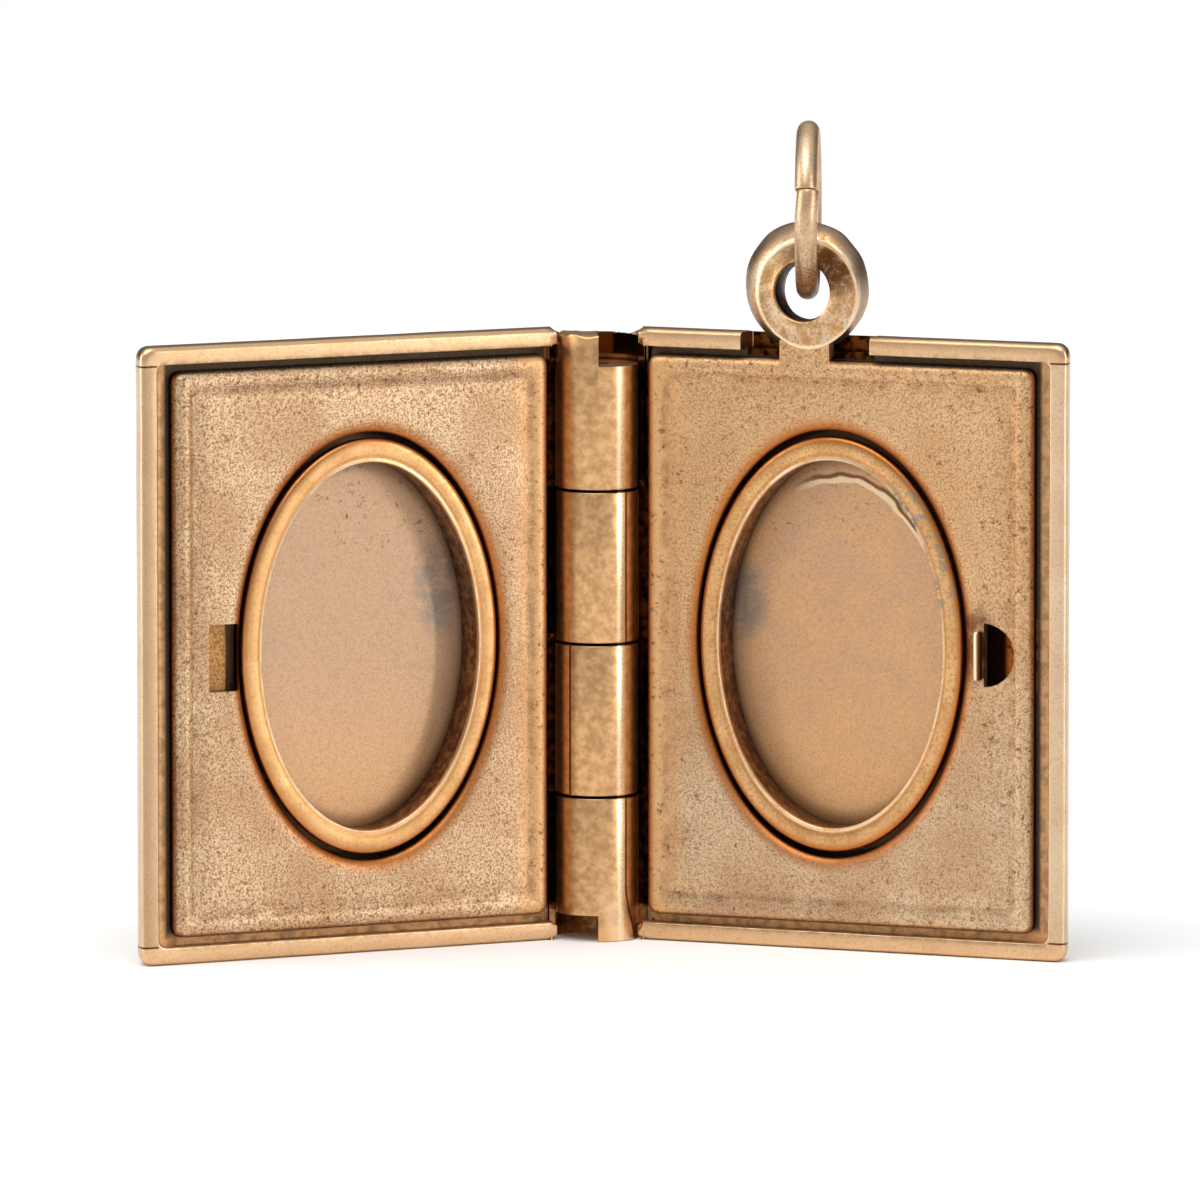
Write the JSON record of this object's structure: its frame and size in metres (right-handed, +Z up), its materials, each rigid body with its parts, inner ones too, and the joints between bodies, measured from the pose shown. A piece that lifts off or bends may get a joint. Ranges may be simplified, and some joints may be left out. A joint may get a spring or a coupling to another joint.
{
  "type": "book locket",
  "caption": "Book-shaped locket standing open: hinged leaves with oval picture frames, a catch, a soldered bail and a jump ring.",
  "frame": {"origin": "middle of the whole standing locket's footprint, at the level of its lower edges", "axes": "+Z up along the hinge pin, +X towards the right leaf's fore edge, -Y towards the viewer, who sees the inside; the spine is at +Y"},
  "size_m": [0.031, 0.009, 0.0278],
  "materials": {
    "leaf_gold": "worn, smooth gold-filled sheet",
    "satin_gold": "fine pitted satin gold fill",
    "frame_gold": "smooth yellow gold fill with brown tarnish in the grooves",
    "plate_gold": "matt pinkish metal with grey stains",
    "pin_gold": "plain wire",
    "wire_gold": "bright worn round wire"
  },
  "bodies": {
    "right_leaf": {"right_cover": "leaf_gold", "right_panel": "satin_gold", "right_frame": "frame_gold", "right_picture_plate": "plate_gold", "hinge_pin": "pin_gold"},
    "left_leaf": {"left_cover": "leaf_gold", "left_panel": "satin_gold", "left_frame": "frame_gold", "left_picture_plate": "plate_gold"},
    "jump_ring": {"jump_ring": "wire_gold"}
  },
  "joints": [
    {"name": "leaf_hinge", "type": "hinge", "parent": "right_leaf", "child": "left_leaf", "pos_m": [0, 0.00259, 0.01035], "axis": [0, 0, 1], "range_deg": [0, 130]},
    {"name": "ring_swing", "type": "hinge", "parent": "right_leaf", "child": "jump_ring", "pos_m": [0.00728, 0.00009, 0.02357], "axis": [0.9903, -0.1392, 0], "range_deg": [-60, 60]}
  ]
}
